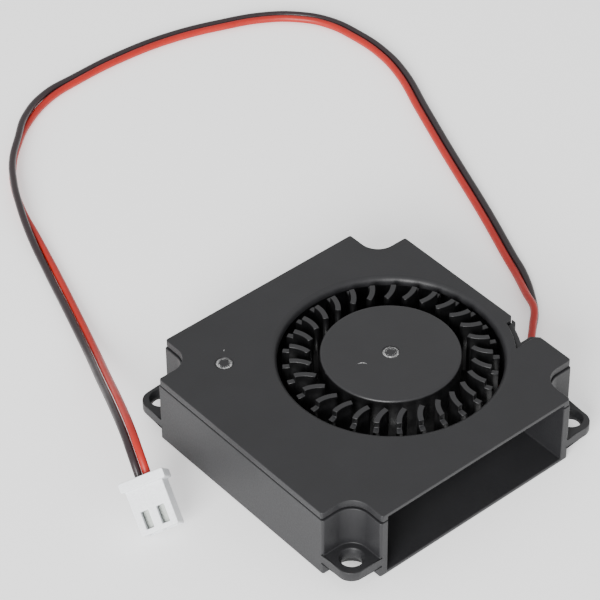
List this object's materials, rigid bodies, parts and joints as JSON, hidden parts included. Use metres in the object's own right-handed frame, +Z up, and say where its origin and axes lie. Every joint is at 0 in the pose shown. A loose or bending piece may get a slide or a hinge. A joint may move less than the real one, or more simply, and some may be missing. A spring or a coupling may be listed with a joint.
{
  "type": "dc blower fan",
  "caption": "Flat square centrifugal blower with a round inlet on top, a wide side outlet, four mounting ears, a brushless motor and a pair of leads ending in a two-pin plug.",
  "frame": {"origin": "under the middle of the square housing, on the surface it lies on", "axes": "+Z up along the rotor's axis, the air outlet faces -Y, the leads leave at +X"},
  "size_m": [0.087, 0.1001, 0.0103],
  "materials": {
    "housing_plastic": "fine matt moulded texture",
    "impeller_plastic": "satin moulded",
    "steel": "ground",
    "magnet": "matt bonded ferrite",
    "nylon": "natural nylon",
    "sintered_bronze": "sintered, oiled",
    "seal_rubber": "matt",
    "silicon_steel": "stamped sheets",
    "insulator_plastic": "natural",
    "copper_wire": "enamelled copper",
    "brass": "tinned brass",
    "board": "green solder resist",
    "chip_black": "moulded epoxy",
    "ceramic": "glazed ceramic",
    "solder": "bright solder",
    "red_insulation": "soft PVC",
    "black_insulation": "soft PVC",
    "plug_plastic": "natural white nylon",
    "tinned_contact": "tin plated"
  },
  "bodies": {
    "housing": {"base_housing": "housing_plastic", "top_cover": "housing_plastic", "thrust_pad": "nylon", "sleeve_bearing": "sintered_bronze", "bearing_plug": "seal_rubber", "stator_core": "silicon_steel", "upper_insulator": "insulator_plastic", "lower_insulator": "insulator_plastic", "coil_1": "copper_wire", "coil_2": "copper_wire", "coil_3": "copper_wire", "coil_4": "copper_wire", "terminal_posts": "brass", "circuit_board": "board", "driver_chip": "chip_black", "chip_resistor": "chip_black", "chip_capacitor": "ceramic", "solder_joints": "solder", "lead_red": "red_insulation", "lead_black": "black_insulation", "plug_housing": "plug_plastic", "contact_red": "tinned_contact", "contact_black": "tinned_contact"},
    "rotor": {"impeller": "impeller_plastic", "rotor_yoke": "steel", "ring_magnet": "magnet", "shaft": "steel", "shaft_clip": "steel", "oil_washer": "nylon"}
  },
  "joints": [
    {"name": "rotor_spin", "type": "hinge", "parent": "housing", "child": "rotor", "pos_m": [0.0041, 0, 0.005], "axis": [0, 0, 1], "continuous": true}
  ]
}
